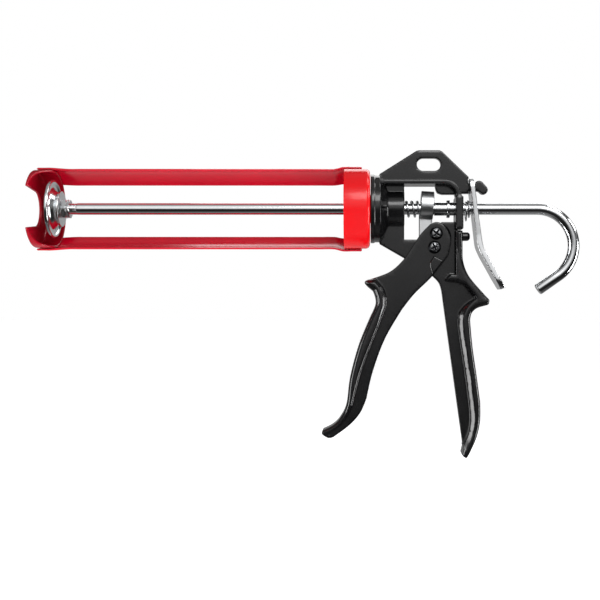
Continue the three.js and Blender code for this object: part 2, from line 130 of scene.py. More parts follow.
# Black stoving enamel on a zinc die casting, semi-gloss: a deep black with a soft sheen, a faint orange peel
# from the spray, the slow waviness of the casting under it, and a few pale scuffs.
def blackStovingEnamel():
    look = {"black": "#0a0a0b", "worn": "#121213", "scuff": "#77787a", "peel": 0.9, "casting": 7.0,
            "cloud": 22.0}
    material, tree, where = newMaterial("black stoving enamel")
    cloud = addNode(tree, "ShaderNodeTexNoise", {"Vector": where, "Scale": perMetre(look["cloud"]),
                                                 "Detail": 5.0, "Roughness": 0.62})
    shade = addNode(tree, "ShaderNodeMix", {"Factor": cloud.outputs["Fac"], "A": linearColour(look["black"]),
                                            "B": linearColour(look["worn"])}, data_type="RGBA")
    speck = addNode(tree, "ShaderNodeTexVoronoi", {"Vector": where, "Scale": perMetre(6.5)})
    near = addNode(tree, "ShaderNodeMapRange", {"Value": speck.outputs["Distance"], "From Min": 0.035,
                                                "From Max": 0.02})
    chosen = addNode(tree, "ShaderNodeMapRange", {"Value": cloud.outputs["Fac"], "From Min": 0.56,
                                                  "From Max": 0.6})
    scuffed = addNode(tree, "ShaderNodeMath", {0: near.outputs["Result"], 1: chosen.outputs["Result"]},
                      operation="MULTIPLY")
    colour = addNode(tree, "ShaderNodeMix", {"Factor": scuffed.outputs["Value"], "A": shade.outputs["Result"],
                                             "B": linearColour(look["scuff"])}, data_type="RGBA")
    dull = addNode(tree, "ShaderNodeMapRange", {"Value": cloud.outputs["Fac"], "From Min": 0.3, "From Max": 0.7,
                                                "To Min": 0.15, "To Max": 0.26})
    peel = addNode(tree, "ShaderNodeTexNoise", {"Vector": where, "Scale": perMetre(look["peel"]), "Detail": 2.0})
    wave = addNode(tree, "ShaderNodeTexNoise", {"Vector": where, "Scale": perMetre(look["casting"]),
                                                "Detail": 2.0})
    waveBump = addNode(tree, "ShaderNodeBump", {"Height": wave.outputs["Fac"], "Strength": 0.2,
                                                "Distance": 0.00012})
    peelBump = addNode(tree, "ShaderNodeBump", {"Height": peel.outputs["Fac"], "Strength": 0.2,
                                                "Distance": 0.00004, "Normal": waveBump.outputs["Normal"]})
    finishMaterial(tree, {"Base Color": colour.outputs["Result"], "Roughness": dull.outputs["Result"],
                          "Normal": peelBump.outputs["Normal"], "IOR": 1.5, "Coat Weight": 0.15,
                          "Coat Roughness": 0.1})
    return material


# Gloss red enamel on pressed steel: a saturated red under a clear gloss, with a light orange peel.
def redEnamel(name, red, deep):
    look = {"red": red, "deep": deep, "peel": 1.4, "cloud": 35.0}
    material, tree, where = newMaterial(name)
    cloud = addNode(tree, "ShaderNodeTexNoise", {"Vector": where, "Scale": perMetre(look["cloud"]),
                                                 "Detail": 4.0})
    colour = addNode(tree, "ShaderNodeMix", {"Factor": cloud.outputs["Fac"], "A": linearColour(look["red"]),
                                             "B": linearColour(look["deep"])}, data_type="RGBA")
    dull = addNode(tree, "ShaderNodeMapRange", {"Value": cloud.outputs["Fac"], "From Min": 0.3, "From Max": 0.7,
                                                "To Min": 0.18, "To Max": 0.26})
    peel = addNode(tree, "ShaderNodeTexNoise", {"Vector": where, "Scale": perMetre(look["peel"]), "Detail": 1.0})
    bump = addNode(tree, "ShaderNodeBump", {"Height": peel.outputs["Fac"], "Strength": 0.12,
                                            "Distance": 0.00003})
    finishMaterial(tree, {"Base Color": colour.outputs["Result"], "Roughness": dull.outputs["Result"],
                          "Normal": bump.outputs["Normal"], "IOR": 1.5, "Specular IOR Level": 0.32,
                          "Coat Weight": 0.12, "Coat Roughness": 0.05})
    return material


# Bright zinc plate over steel: a cool silver with drawing lines along the piece and slightly uneven polish.
def zincPlate(name, shine, grain):
    look = {"bright": "#eeeff0", "grey": "#dcdee0", "lines": 0.5, "cloud": 9.0}
    material, tree, where = newMaterial(name)
    cloud = addNode(tree, "ShaderNodeTexNoise", {"Vector": where, "Scale": perMetre(look["cloud"]),
                                                 "Detail": 5.0, "Roughness": 0.6})
    drawn = addNode(tree, "ShaderNodeMapping", {"Vector": where, "Scale": grain})
    lines = addNode(tree, "ShaderNodeTexNoise", {"Vector": drawn.outputs["Vector"],
                                                 "Scale": perMetre(look["lines"]), "Detail": 3.0})
    colour = addNode(tree, "ShaderNodeMix", {"Factor": cloud.outputs["Fac"], "A": linearColour(look["bright"]),
                                             "B": linearColour(look["grey"])}, data_type="RGBA")
    mixed = addNode(tree, "ShaderNodeMath", {0: cloud.outputs["Fac"], 1: lines.outputs["Fac"]},
                    operation="MULTIPLY")
    dull = addNode(tree, "ShaderNodeMapRange", {"Value": mixed.outputs["Value"], "From Min": 0.1,
                                                "From Max": 0.45, "To Min": shine[0], "To Max": shine[1]})
    bump = addNode(tree, "ShaderNodeBump", {"Height": lines.outputs["Fac"], "Strength": 0.1,
                                            "Distance": 0.00001})
    finishMaterial(tree, {"Base Color": colour.outputs["Result"], "Metallic": 1.0,
                          "Roughness": dull.outputs["Result"], "Normal": bump.outputs["Normal"]})
    return material


# Oil-blackened steel on the pan-head screws and their nuts: near black, with the finish rubbed off in patches
# on top of the heads, round the recess.
def blackenedSteel(centres, rubbed):
    look = {"black": "#26272a", "bare": "#c4c6c8", "blackAt": 8.3, "bareAt": 8.7}
    material, tree, where = newMaterial("blackened steel")
    grain = addNode(tree, "ShaderNodeTexNoise", {"Vector": where, "Scale": perMetre(0.7), "Detail": 4.0})
    worn = None
    for x, z in centres:
        spot = placed(x, 0, z)
        flat = addNode(tree, "ShaderNodeVectorMath", {0: where, 1: (1, 0, 1)}, operation="MULTIPLY")
        away = addNode(tree, "ShaderNodeVectorMath", {0: flat.outputs["Vector"], 1: (spot.x, 0, spot.z)},
                       operation="DISTANCE")
        patch = addNode(tree, "ShaderNodeMapRange", {"Value": away.outputs["Value"],
                                                     "From Min": rubbed[1] / 1000,
                                                     "From Max": rubbed[0] / 1000})
        worn = patch.outputs["Result"] if worn is None else addNode(
            tree, "ShaderNodeMath", {0: worn, 1: patch.outputs["Result"]}, operation="MAXIMUM").outputs["Value"]
    depth = addNode(tree, "ShaderNodeSeparateXYZ", {"Vector": where})
    head = addNode(tree, "ShaderNodeMapRange", {"Value": depth.outputs["Y"], "From Min": -look["blackAt"] / 1000,
                                                "From Max": -look["bareAt"] / 1000})
    patchy = addNode(tree, "ShaderNodeMapRange", {"Value": grain.outputs["Fac"], "From Min": 0.4,
                                                  "From Max": 0.55})
    bare = addNode(tree, "ShaderNodeMath", {0: worn, 1: head.outputs["Result"]}, operation="MULTIPLY")
    bare = addNode(tree, "ShaderNodeMath", {0: bare.outputs["Value"], 1: patchy.outputs["Result"]},
                   operation="MULTIPLY")
    colour = addNode(tree, "ShaderNodeMix", {"Factor": bare.outputs["Value"], "A": linearColour(look["black"]),
                                             "B": linearColour(look["bare"])}, data_type="RGBA")
    bump = addNode(tree, "ShaderNodeBump", {"Height": grain.outputs["Fac"], "Strength": 0.2,
                                            "Distance": 0.00003})
    finishMaterial(tree, {"Base Color": colour.outputs["Result"], "Metallic": 1.0, "Roughness": 0.3,
                          "Normal": bump.outputs["Normal"]})
    return material


pivot = (42.7, -26.1)
drivePin = (43.9, -16.8)
screwHole = 2.3
blackPaint = blackStovingEnamel()
redPaint = redEnamel("gloss red enamel", "#d40428", "#bc0322")
# The ring's red is the same gloss enamel as a brighter, more orange copy of it.
ringPaint = redEnamel("gloss red enamel, brighter copy for the ring", "#de0b14", "#cc0911")
# The cup's red is the same gloss enamel painted darker, as painted shade for the dim inside of the cup.
cupPaintDarkenedForShade = redEnamel("gloss red enamel, darkened for painted shade", "#a8031c", "#8c0218")
rodPlate = zincPlate("bright zinc plate, drawn rod", (0.1, 0.2), (0.04, 1, 1))
pressedPlate = zincPlate("bright zinc plate, pressed", (0.17, 0.23), (1, 1, 0.2))
machinedPlate = zincPlate("bright zinc plate, machined", (0.28, 0.38), (1, 0.3, 0.3))
springWire = zincPlate("drawn spring steel", (0.2, 0.34), (0.5, 1, 1))
screwBlack = blackenedSteel([pivot, drivePin], (2.0, 3.2))
print("materials made")


# Mesh tools

def addPiece(name, points, faces, look, body, stands, sharp=35):
    mesh = bpy.data.meshes.new(name)
    mesh.from_pydata(((np.asarray(points) + datum) / 1000).tolist(), [], [list(map(int, f)) for f in faces])
    mesh.validate()
    mesh.polygons.foreach_set("use_smooth", [True] * len(mesh.polygons))
    if sharp:
        mesh.set_sharp_from_angle(angle=math.radians(sharp))
    piece = bpy.data.objects.new(name, mesh)
    piece.data.materials.append(look)
    bpy.context.collection.objects.link(piece)
    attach(piece, body)
    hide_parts(*stands)
    return piece


# Corners [x, y, radius] in order, each turned into an arc.
def softened(corners, steps=6):
    run = []
    count = len(corners)
    for i, (x, y, radius) in enumerate(corners):
        corner = Vector((x, y))
        if radius == 0:
            run.append((x, y))
            continue
        before = (Vector(corners[i - 1][:2]) - corner).normalized()
        after = (Vector(corners[(i + 1) % count][:2]) - corner).normalized()
        half = math.acos(max(-1, min(1, before.dot(after)))) / 2
        reach = radius / math.tan(half)
        centre = corner + (before + after).normalized() * radius / math.sin(half)
        first = corner + before * reach - centre
        last = corner + after * reach - centre
        turn = first.angle_signed(last)
        for k in range(steps + 1):
            spoke = first.copy()
            angle = -turn * k / steps
            spoke = Vector((spoke.x * math.cos(angle) - spoke.y * math.sin(angle),
                            spoke.x * math.sin(angle) + spoke.y * math.cos(angle)))
            run.append(tuple(centre + spoke))
    return run


# A smooth curve through points, with the same rule as the solid model's outlines.
def smoothRun(points, steps=10):
    points = [np.array(p, float) for p in points]
    last = len(points) - 1
    run = []
    for i in range(last):
        a, b, c, d = points[max(i - 1, 0)], points[i], points[i + 1], points[min(i + 2, last)]
        inward, outward = (c - a) / 2, (d - b) / 2
        for k in range(steps):
            t = k / steps
            run.append((2 * b - 2 * c + inward + outward) * t ** 3
                       + (3 * c - 3 * b - 2 * inward - outward) * t ** 2 + inward * t + b)
    return [tuple(p) for p in run] + [tuple(points[last])]


def outlineOf(start, stretches, steps=10):
    run = [tuple(start)]
    for kind, points in stretches:
        run += smoothRun([run[-1]] + points, steps)[1:] if kind == "curve" else [tuple(p) for p in points]
    return run


# A closed profile of (x, radius) points turned about the rod's axis.
def turnedMesh(profile, segments=144, centreZ=0.0):
    points = []
    faces = []
    count = len(profile)
    for k in range(segments):
        angle = 2 * math.pi * k / segments
        points += [(x, r * math.cos(angle), r * math.sin(angle) + centreZ) for x, r in profile]
        here, there = k * count, (k + 1) % segments * count
        faces += [(here + i, here + (i + 1) % count, there + (i + 1) % count, there + i) for i in range(count)]
    return facedOut(points, faces)


# A washer or tube between two places along the axis and two radii, each with its own edge rounding.
def washerMesh(ends, bore, outside, boreEdge, outsideEdge, segments, centreZ=0.0):
    return turnedMesh(softened([(ends[0], bore, boreEdge), (ends[0], outside, outsideEdge),
                                (ends[1], outside, outsideEdge), (ends[1], bore, boreEdge)]), segments, centreZ)


# Two meshes as one piece.
def together(one, other):
    points, faces = one
    morePoints, moreFaces = other
    moved = [tuple(i + len(points) for i in face) for face in moreFaces]
    return np.concatenate([points, morePoints]), faces + moved


# A closed section carried along a path, with flat or domed ends.
def sweptMesh(path, radiusAt, sides=32):
    path = np.array(path, float)
    ahead = np.gradient(path, axis=0)
    ahead /= np.linalg.norm(ahead, axis=1)[:, None]
    across = np.array([0.0, 1.0, 0.0]) if abs(ahead[0][1]) < 0.9 else np.array([1.0, 0.0, 0.0])
    points = []
    faces = []
    for k, (centre, heading) in enumerate(zip(path, ahead)):
        across = across - heading * across.dot(heading)
        across /= np.linalg.norm(across)
        other = np.cross(heading, across)
        for i in range(sides):
            angle = 2 * math.pi * i / sides
            points.append(centre + radiusAt(k) * (across * math.cos(angle) + other * math.sin(angle)))
        if k:
            back, here = (k - 1) * sides, k * sides
            faces += [(back + i, back + (i + 1) % sides, here + (i + 1) % sides, here + i) for i in range(sides)]
    last = (len(path) - 1) * sides
    faces += [tuple(range(sides))[::-1], tuple(last + i for i in range(sides))]
    return facedOut(points, faces)


# The same mesh with its faces turned outwards.
def facedOut(points, faces):
    points = np.asarray(points, float)
    volume = 0.0
    for face in faces:
        first = points[face[0]]
        for b, c in zip(face[1:], face[2:]):
            volume += first.dot(np.cross(points[b], points[c]))
    return points, faces if volume > 0 else [tuple(f)[::-1] for f in faces]


# Solids by signed distance: below zero is metal. Fields meet with cast fillets, and openvdb skins them.

def makeGrid(low, high, pitch):
    axes = [np.arange(a - 3 * pitch, b + 3 * pitch, pitch, dtype=np.float32) for a, b in zip(low, high)]
    return {"pitch": pitch, "low": np.array([axis[0] for axis in axes]), "x": axes[0][:, None, None],
            "y": axes[1][None, :, None], "z": axes[2][None, None, :]}


# Distance to a closed outline, over any two arrays of coordinates.
def outlineField(u, v, outline):
    u, v = np.broadcast_arrays(u, v)
    nearest = np.full(u.shape, 1e9, np.float32)
    inside = np.zeros(u.shape, bool)
    for (au, av), (bu, bv) in zip(outline, outline[1:] + outline[:1]):
        eu, ev = bu - au, bv - av
        length = eu * eu + ev * ev
        if length < 1e-12:
            continue
        t = np.clip(((u - au) * eu + (v - av) * ev) / length, 0, 1)
        np.minimum(nearest, (u - au - t * eu) ** 2 + (v - av - t * ev) ** 2, out=nearest)
        if ev:
            inside ^= ((av > v) != (bv > v)) & (u < eu * (v - av) / ev + au)
    return np.sqrt(nearest) * np.where(inside, -1, 1).astype(np.float32)


def turnedField(grid, profile, centreZ=0.0):
    radius = np.sqrt(grid["y"] ** 2 + (grid["z"] - centreZ) ** 2)
    step = grid["pitch"] / 2
    radii = np.arange(0, radius.max() + 2 * step, step, dtype=np.float32)
    table = outlineField(grid["x"][:, 0, :], radii[None, :], profile)
    place = radius[0] / step
    low = place.astype(int)
    part = (place - low)[None]
    return table[:, low] * (1 - part) + table[:, low + 1] * part


# Both at once, with their shared edge rounded.
def meeting(a, b, rounding):
    a, b = a + rounding, b + rounding
    return np.minimum(np.maximum(a, b), 0) + np.sqrt(np.maximum(a, 0) ** 2 + np.maximum(b, 0) ** 2) - rounding


# Both at once, with their shared edge cut off at 45 degrees.
def bevelled(a, b, leg):
    return meeting(meeting(a, b, 0.3), (a + b + leg) * math.sqrt(0.5), 0.3)


# Either one, with a fillet where they run into each other.
def joined(a, b, fillet):
    if not fillet:
        return np.minimum(a, b)
    near = np.maximum(fillet - np.abs(a - b), 0)
    return np.minimum(a, b) - near * near / (4 * fillet)


# The first with the second cut out of it, and the edge between them rounded.
def without(a, b, rounding):
    return -joined(-a, b, rounding)


def boxField(grid, x, y, z, rounding):
    far = [np.abs(grid[k] - (a + b) / 2) - (b - a) / 2 + rounding for k, (a, b) in zip("xyz", (x, y, z))]
    outside = np.sqrt(sum(np.maximum(f, 0) ** 2 for f in far))
    return outside + np.minimum(np.maximum(np.maximum(far[0], far[1]), far[2]), 0) - rounding


# The surface where a field is zero. More flatness merges more of the faces.
def skinOf(field, grid, flatness=0.0):
    limit = 4 * grid["pitch"]
    volume = openvdb.FloatGrid(limit)
    volume.copyFromArray(np.ascontiguousarray(np.clip(field, -limit, limit), dtype=np.float32))
    points, triangles, quads = volume.convertToPolygons(isovalue=0.0, adaptivity=flatness)
    points = np.asarray(points, float) * grid["pitch"] + grid["low"]
    faces = [tuple(f) for f in triangles.tolist()] + [tuple(f) for f in quads.tolist()]
    corner = points[quads] if len(quads) else points[triangles]
    volumeSum = np.einsum("ij,ij->i", corner[:, 0], np.cross(corner[:, 1], corner[:, 2])).sum()
    return points, faces if volumeSum > 0 else [f[::-1] for f in faces]


fine = 1.0

# The cast body

body = {"webHalf": 3.0, "ribHalf": 11.0, "gripHalf": 10.5, "padHalf": 11.5, "noseRadius": 11.35, "noseEnd": 22.6,
        "noseWall": 1.0, "nosePitch": 0.34, "bore": 4.6, "pitch": 0.36, "edge": 0.5, "fillet": 0.8,
        "palmGrown": 1.4, "palmBevel": 3.0, "palmRound": 2.6, "ribCentre": (48.6, 7), "ribOuter": 12,
        "ribInner": 9, "slotCentre": (39.1, 29.8), "slotLength": 16, "slotHeight": 8.6, "pocketFloor": 12.2}

webOutline = outlineOf((6, 0), [
    ("line", [(6, 23.4), (30.6, 38.9)]), ("curve", [(32.4, 39.4)]), ("line", [(46.4, 39.4)]),
    ("curve", [(48.4, 38.4)]),
    ("line", [(66, 21.4), (66, 20.4), (65.4, 19.4), (65.5, 17), (66.1, 10.2), (58, 10.2), (58, -26),
              (61.8, -38), (66.6, -46.6), (76.6, -58.4)]),
    ("curve", [(79.2, -61), (78.6, -64), (76, -65)]), ("curve", [(70.6, -66.8), (67.4, -70), (66.2, -74.4)]),
    ("curve", [(67.9, -92), (70.6, -112), (72.9, -130)]), ("curve", [(72.9, -142), (70.6, -153), (66, -163.4)]),
    ("curve", [(63.6, -166.6), (61.4, -164.4), (62.1, -160.4)]), ("line", [(48.6, -62)]),
    ("curve", [(47.4, -54), (45.6, -49.4), (41.6, -45.3)]), ("curve", [(34, -41.4), (28, -37)]),
    ("line", [(22.3, -33.1), (6, -23.7)])])
windowOutline = outlineOf((22.6, 16), [
    ("line", [(22.6, -20.7), (47.5, -20.7), (47.5, -8.9), (56.9, -8.9), (56.9, 9.6), (48, 9.6)]),
    ("curve", [(44.8, 10.8), (43.4, 14)]), ("line", [(43.4, 16)])])
palmOutline = outlineOf((50.4, -47.7), [
    ("line", [(53.4, -44.4), (56.9, -44.4), (56.9, -15), (61.4, -15), (61.4, -28)]),
    ("curve", [(61.9, -36), (65.8, -45.9), (76.6, -58.5)]),
    ("curve", [(79.1, -61.6), (78.6, -64.4), (76, -65.3)]),
    ("curve", [(70.8, -67), (67.5, -70.2), (66.4, -74.6)]), ("curve", [(68, -92.4), (70.8, -112), (73.2, -130)]),
    ("curve", [(73.1, -142), (70.8, -153), (66.2, -163.6)]),
    ("curve", [(63.8, -167), (61.2, -164.6), (62.4, -160.6)]),
    ("curve", [(66.4, -152), (68, -144), (67.8, -134), (65.4, -114), (62, -92), (60.2, -78)]),
    ("curve", [(60.6, -71.6), (63.6, -66), (68, -62)]), ("curve", [(70, -60.4), (69.6, -58.6), (68, -56.6)]),
    ("line", [(62.4, -50), (58, -48.6)])])


def arcRun(centre, radius, start, end, steps=24):
    return [(centre[0] + radius * math.cos(start + (end - start) * k / steps),
             centre[1] + radius * math.sin(start + (end - start) * k / steps)) for k in range(steps + 1)]


def stadiumRun(centre, length, height, tilt=0.0):
    radius = height / 2
    reach = length / 2 - radius
    dx, dz = reach * math.cos(tilt), reach * math.sin(tilt)
    quarter = math.pi / 2
    return (arcRun((centre[0] + dx, centre[1] + dz), radius, tilt - quarter, tilt + quarter)
            + arcRun((centre[0] - dx, centre[1] - dz), radius, tilt + quarter, tilt + 3 * quarter))


# The flange, cone and nose that the cradle turns on, with the two pockets in the cone.
noseProfile = softened([
    (-spigotLength, body["bore"], 0), (-spigotLength, 9.4, 0.4), (0, 9.4, 0), (0, 23.1, 0.4), (2.4, 23.1, 0.3),
    (2.9, 22.5, 0.2), (6.3, 22.5, 0.5), (11.4, body["noseRadius"], 1.2), (body["noseEnd"], body["noseRadius"], 0.9),
    (body["noseEnd"], body["bore"], 0.4)])


def castNose():
    grid = makeGrid((-7, -23.2, -23.2), (22.7, 23.2, 23.2), body["nosePitch"] * fine)
    across = np.abs(grid["y"])
    pockets = np.minimum(boxField(grid, (6.9, 11.0), (-30, 30), (0.9, 5.0), 0.3),
                         boxField(grid, (6.9, 11.0), (-30, 30), (-1.9, 0.1), 0.3))
    pockets = np.maximum(pockets, body["pocketFloor"] - across)
    return skinOf(without(turnedField(grid, noseProfile), pockets, 0.25), grid, 0.01)


def castBody():
    b = body
    grid = makeGrid((4, -12, -167.5), (81, 12, 39.6), b["pitch"] * fine)
    x, y, z = grid["x"], grid["y"], grid["z"]
    across = np.abs(y)
    web = outlineField(x, z, webOutline)
    web = meeting(web, -outlineField(x, z, windowOutline), 0.3)
    slot = outlineField(x, z, stadiumRun(b["slotCentre"], b["slotLength"], b["slotHeight"]))
    web = np.maximum(web, -slot)
    field = meeting(web, across - b["webHalf"], b["edge"])

    centre, outer, inner = b["ribCentre"], b["ribOuter"], b["ribInner"]
    ribFrom = b["noseEnd"] - 17
    ribRun = ([(ribFrom, centre[1] + inner), (ribFrom, centre[1] + outer)]
              + arcRun(centre, outer, math.pi / 2, 0) + [(centre[0] + outer, 3), (centre[0] + inner, 3)]
              + arcRun(centre, inner, 0, math.pi / 2))
    rib = meeting(outlineField(x, z, ribRun), across - b["ribHalf"], 0.5)
    field = joined(field, rib, b["fillet"])

    inUnion = np.minimum(outlineField(x, z, webOutline), outlineField(x, z, palmOutline))
    lower = np.clip((-60 - z) / 10, 0, 1)
    palmFace = outlineField(x, z, palmOutline) - b["palmGrown"] * lower
    palm = bevelled(palmFace, across - b["gripHalf"], 0.6 + (b["palmBevel"] - 0.6) * lower)
    palm = np.maximum(palm, meeting(inUnion, across - b["gripHalf"], b["palmRound"]))
    field = joined(field, palm, 1.1)

    field = joined(field, boxField(grid, (56.7, 61.8), (-b["padHalf"], b["padHalf"]), (-14.2, 8), 1.0), 0.8)
    neck = outlineField(x, z, [(64.6, 11.8), (64.6, 16.6), (73.4, 16.6), (73.4, 11.8)])
    ear = outlineField(x, z, stadiumRun((74.4, 14.3), 10.4, 6.2, math.radians(-48)))
    ear = meeting(joined(neck, ear, 1.0), across - b["webHalf"], 0.9)
    field = joined(field, ear, 0.8)
    peg = turnedField(grid, softened([(60, -1, 0), (60, 3, 0), (67, 3, 2.2), (67, -1, 0)]), -18.6)
    field = joined(field, peg, 0.9)

    inside, past = b["noseRadius"] - b["noseWall"], b["noseEnd"] + 0.2
    hollow = turnedField(grid, [(5, -1), (5, inside), (past, inside), (past, -1)])
    field = np.maximum(field, -hollow)
    core = np.maximum(turnedField(grid, noseProfile) + 0.08, across - 11)
    field = joined(field, core, 0.9)
    bore = np.sqrt(y ** 2 + z ** 2) - b["bore"]
    field = np.maximum(field, -np.maximum(bore, b["noseEnd"] - 0.4 - x))
    pivotHole = np.sqrt((x - pivot[0]) ** 2 + (z - pivot[1]) ** 2) - screwHole
    field = np.maximum(field, -pivotHole)
    return skinOf(field, grid, 0.02)


points, faces = together(castBody(), castNose())
addPiece("cast_body", points, faces, blackPaint, "body", ["body_casting"], sharp=0)
print("cast body:", len(faces), "faces")

# The trigger

lever = {"cheekInside": 3.4, "cheekOutside": 6.6, "gripHalf": 10.5, "pitch": 0.36, "edge": 0.6, "shoulder": 3.0,
         "fingerBevel": 1.0, "fingerRound": 3.4, "fillet": 1.0, "lugFace": 7.8, "lugBack": 4.0,
         "lugPitch": 0.16}
triggerOutline = outlineOf((39.8, -10.6), [
    ("curve", [(44, -9.1), (49.2, -10.6), (53, -14.6), (54.1, -20), (53.2, -27), (52, -31.6), (49.2, -35.4)]),
    ("curve", [(40.6, -46.2), (29.2, -57.4), (20.8, -68)]),
    ("curve", [(9.6, -87.4), (1.6, -109), (-2.8, -127.6)]),
    ("curve", [(-7, -137), (-14.2, -145.2), (-25.2, -153.4)]),
    ("curve", [(-28.6, -153.8), (-32.6, -151.2), (-31.8, -148.6)]),
    ("curve", [(-25.2, -145.2), (-20.2, -140), (-16, -131), (-13.6, -113), (-7.8, -91.6), (-0.2, -73)]),
    ("curve", [(3.4, -65), (3.4, -60), (1.8, -55.4)]), ("curve", [(-2.4, -51.8), (-3.8, -49.4), (-1.6, -47.9)]),
    ("curve", [(10.6, -43.6), (17, -39.4), (23, -33.2)]), ("line", [(30.5, -21.8)]),
    ("curve", [(34, -16.6), (39.8, -10.6)])])
fingerOutline = outlineOf((-1.6, -47.9), [
    ("line", [(3.6, -47.6)]), ("curve", [(8.2, -53.4), (10.2, -59.6), (10, -65.6)]),
    ("curve", [(1.8, -86.6), (-6.8, -109.2), (-12.8, -132)]),
    ("curve", [(-17.8, -141), (-25.2, -147.6), (-31.8, -150.6)]),
    ("curve", [(-32.4, -149.6), (-31.8, -148.6)]),
    ("curve", [(-25.2, -145.2), (-20.2, -140), (-16, -131), (-13.6, -113), (-7.8, -91.6), (-0.2, -73)]),
    ("curve", [(3.4, -65), (3.4, -60), (1.8, -55.4)]), ("curve", [(-2.4, -51.8), (-3.8, -49.4), (-1.6, -47.9)])])
channelOutline = outlineOf((16, -30), [
    ("line", [(19, -36)]), ("curve", [(14, -49), (12, -58), (11.4, -66)]),
    ("curve", [(3.4, -86.6), (-5, -109.2), (-10.6, -130)]),
    ("line", [(20, -130), (70, -50), (70, 10), (16, 10)])])


def castTrigger():
    t = lever
    grid = makeGrid((-33, -11, -155), (55, 11, -8.6), t["pitch"] * fine)
    x, y, z = grid["x"], grid["y"], grid["z"]
    across = np.abs(y)
    arm = outlineField(x, z, triggerOutline)
    nearShoulder = np.exp(-((x - 51.5) ** 2 + (z + 14.5) ** 2) / 30)
    field = meeting(arm, across - t["cheekOutside"], t["edge"] + (t["shoulder"] - t["edge"]) * nearShoulder)
    upper = np.clip((z + 78) / 16, 0, 1)
    bevelLeg = t["fingerBevel"] * (1 + 1.4 * upper)
    finger = bevelled(outlineField(x, z, fingerOutline), across - t["gripHalf"], bevelLeg)
    finger = np.maximum(finger, meeting(arm, across - t["gripHalf"], t["fingerRound"]))
    field = joined(field, finger, t["fillet"])
    channel = np.maximum(outlineField(x, z, channelOutline), across - t["cheekInside"])
    field = without(field, channel, 0.5)
    for px, pz in (pivot, drivePin):
        hole = np.sqrt((x - px) ** 2 + (z - pz) ** 2) - screwHole
        field = np.maximum(field, -hole)
    return skinOf(field, grid, 0.02)


# The raised lug below the two screws, on the near side. It ends inside the cheek, clear of the body's web.
def castLug():
    grid = makeGrid((39.4, -8.1, -45), (49.4, -3, -31), lever["lugPitch"] * fine)
    x, y, z = grid["x"], grid["y"], grid["z"]
    top, right, foot = (42.4, -31.6), (49, -35.1), (41.4, -44.6)
    lug = outlineField(x, z, [top, right] + smoothRun([right, (45.6, -40), foot], 4)
                       + smoothRun([foot, (39.9, -40), (39.8, -36), top], 6)[:-1])
    depth = np.abs(y + (lever["lugFace"] + lever["lugBack"]) / 2) - (lever["lugFace"] - lever["lugBack"]) / 2
    return skinOf(bevelled(lug, depth, 0.8), grid, 0.01)


points, faces = together(castTrigger(), castLug())
addPiece("cast_trigger", points, faces, blackPaint, "trigger", ["trigger_lever"], sharp=0)
print("trigger:", len(faces), "faces")

# Screws and nuts

screw = {"headRadius": 4.3, "headHeight": 2.6, "headFrom": -6.9, "shankFrom": -8.0, "shankEnd": 11.0,
         "shankRadius": 2.0, "pitch": 0.11, "thread": 0.7, "threadFrom": 5.0, "threadDepth": 0.14,
         "crossHalf": 0.62, "crossReach": 2.9, "crossDepth": 1.8}
nut = {"from": 6.9, "to": 10.1, "flat": 3.46, "pitch": 0.13, "rodPitch": 0.17}


def panHeadScrew(at, turn):
    s = screw
    x0, z0 = at
    grid = makeGrid((x0 - 4.4, -9.6, z0 - 4.4), (x0 + 4.4, s["shankEnd"], z0 + 4.4), s["pitch"] * fine)
    x, y, z = grid["x"] - x0, grid["y"], grid["z"] - z0
    radius = np.sqrt(x ** 2 + z ** 2)
    seat, rim = s["headFrom"], s["headRadius"]
    top = seat - s["headHeight"]
    dome = softened([(-1, seat, 0), (rim, seat, 0.2), (rim, seat - 0.9, 0.5), (rim - 1, top + 0.3, 1.2),
                     (1.4, top, 1.5), (-1, top, 0)])
    head = outlineField(*np.broadcast_arrays(radius, y), dome)
    angle = np.arctan2(z, x)
    ridge = s["threadDepth"] * np.abs(((y / s["thread"] + angle / (2 * math.pi)) % 1) * 2 - 1)
    ridge = ridge * (y > s["threadFrom"])
    middle, half = (s["shankFrom"] + s["shankEnd"]) / 2, (s["shankEnd"] - s["shankFrom"]) / 2
    shank = meeting(radius - s["shankRadius"] + ridge, np.abs(y - middle) - half, 0.3)
    u = x * math.cos(turn) + z * math.sin(turn)
    v = z * math.cos(turn) - x * math.sin(turn)
    deep = np.clip((y - top) / 1.7, 0, 1)
    arms = [np.maximum(np.abs(p) - s["crossHalf"] + 0.15 * deep, np.abs(q) - s["crossReach"] + 1.5 * deep)
            for p, q in ((u, v), (v, u))]
    cross = np.maximum(np.minimum(*arms), y - top - s["crossDepth"])
    return skinOf(without(joined(head, shank, 0), cross, 0.2), grid)


# A hexagon by half its width across the flats.
def hexField(u, v, flat, turn=0.0):
    reach = None
    for k in range(3):
        angle = turn + k * math.pi / 3
        side = np.abs(u * math.cos(angle) + v * math.sin(angle)) - flat
        reach = side if reach is None else np.maximum(reach, side)
    return reach


def screwNut(at):
    x0, z0 = at
    grid = makeGrid((x0 - 4, nut["from"], z0 - 4), (x0 + 4, nut["to"], z0 + 4), nut["pitch"] * fine)
    x, y, z = grid["x"] - x0, grid["y"], grid["z"] - z0
    radius = np.sqrt(x ** 2 + z ** 2)
    middle, half = (nut["from"] + nut["to"]) / 2, (nut["to"] - nut["from"]) / 2
    field = meeting(hexField(x, z, nut["flat"], math.pi / 6), np.abs(y - middle) - half, 0.12)
    field = np.maximum(field, (radius - 3.55 + (y - 8.9) * 0.7) * 0.8)
    return skinOf(np.maximum(field, screwHole - radius), grid)


for name, at, turn, bodyName in (("pivot_screw", pivot, 0.45, "body"),
                                 ("drive_screw", drivePin, 0.95, "trigger")):
    points, faces = panHeadScrew(at, turn)
    addPiece(name + "_head_and_shank", points, faces, screwBlack, bodyName, [name], sharp=0)
    points, faces = screwNut(at)
    nutName = name.replace("screw", "nut")
    addPiece(nutName + "_hex", points, faces, screwBlack, bodyName, [nutName], sharp=30)


